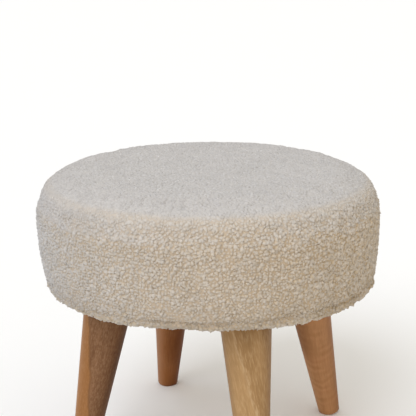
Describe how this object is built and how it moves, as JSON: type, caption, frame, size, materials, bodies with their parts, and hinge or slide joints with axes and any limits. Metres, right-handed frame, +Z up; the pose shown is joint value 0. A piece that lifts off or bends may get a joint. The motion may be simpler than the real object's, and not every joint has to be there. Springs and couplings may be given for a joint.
{
  "type": "upholstered footstool",
  "caption": "Round footstool with a thick drum-shaped pad in curly cream fabric on splayed, tapered wooden legs, for resting the feet or for sitting low.",
  "frame": {"origin": "on the floor, under the middle of the round pad", "axes": "+Z up from the floor; the front is towards -Y, and the legs stand near the diagonals of X and Y"},
  "size_m": [0.41, 0.41, 0.3525],
  "materials": {
    "curly_cover": "matte short curly pile",
    "leg_wood": "satin lacquer"
  },
  "bodies": {
    "root": {"seat_pad": "curly_cover", "leg_front_right": "leg_wood", "leg_back_right": "leg_wood", "leg_back_left": "leg_wood", "leg_front_left": "leg_wood"}
  },
  "joints": []
}
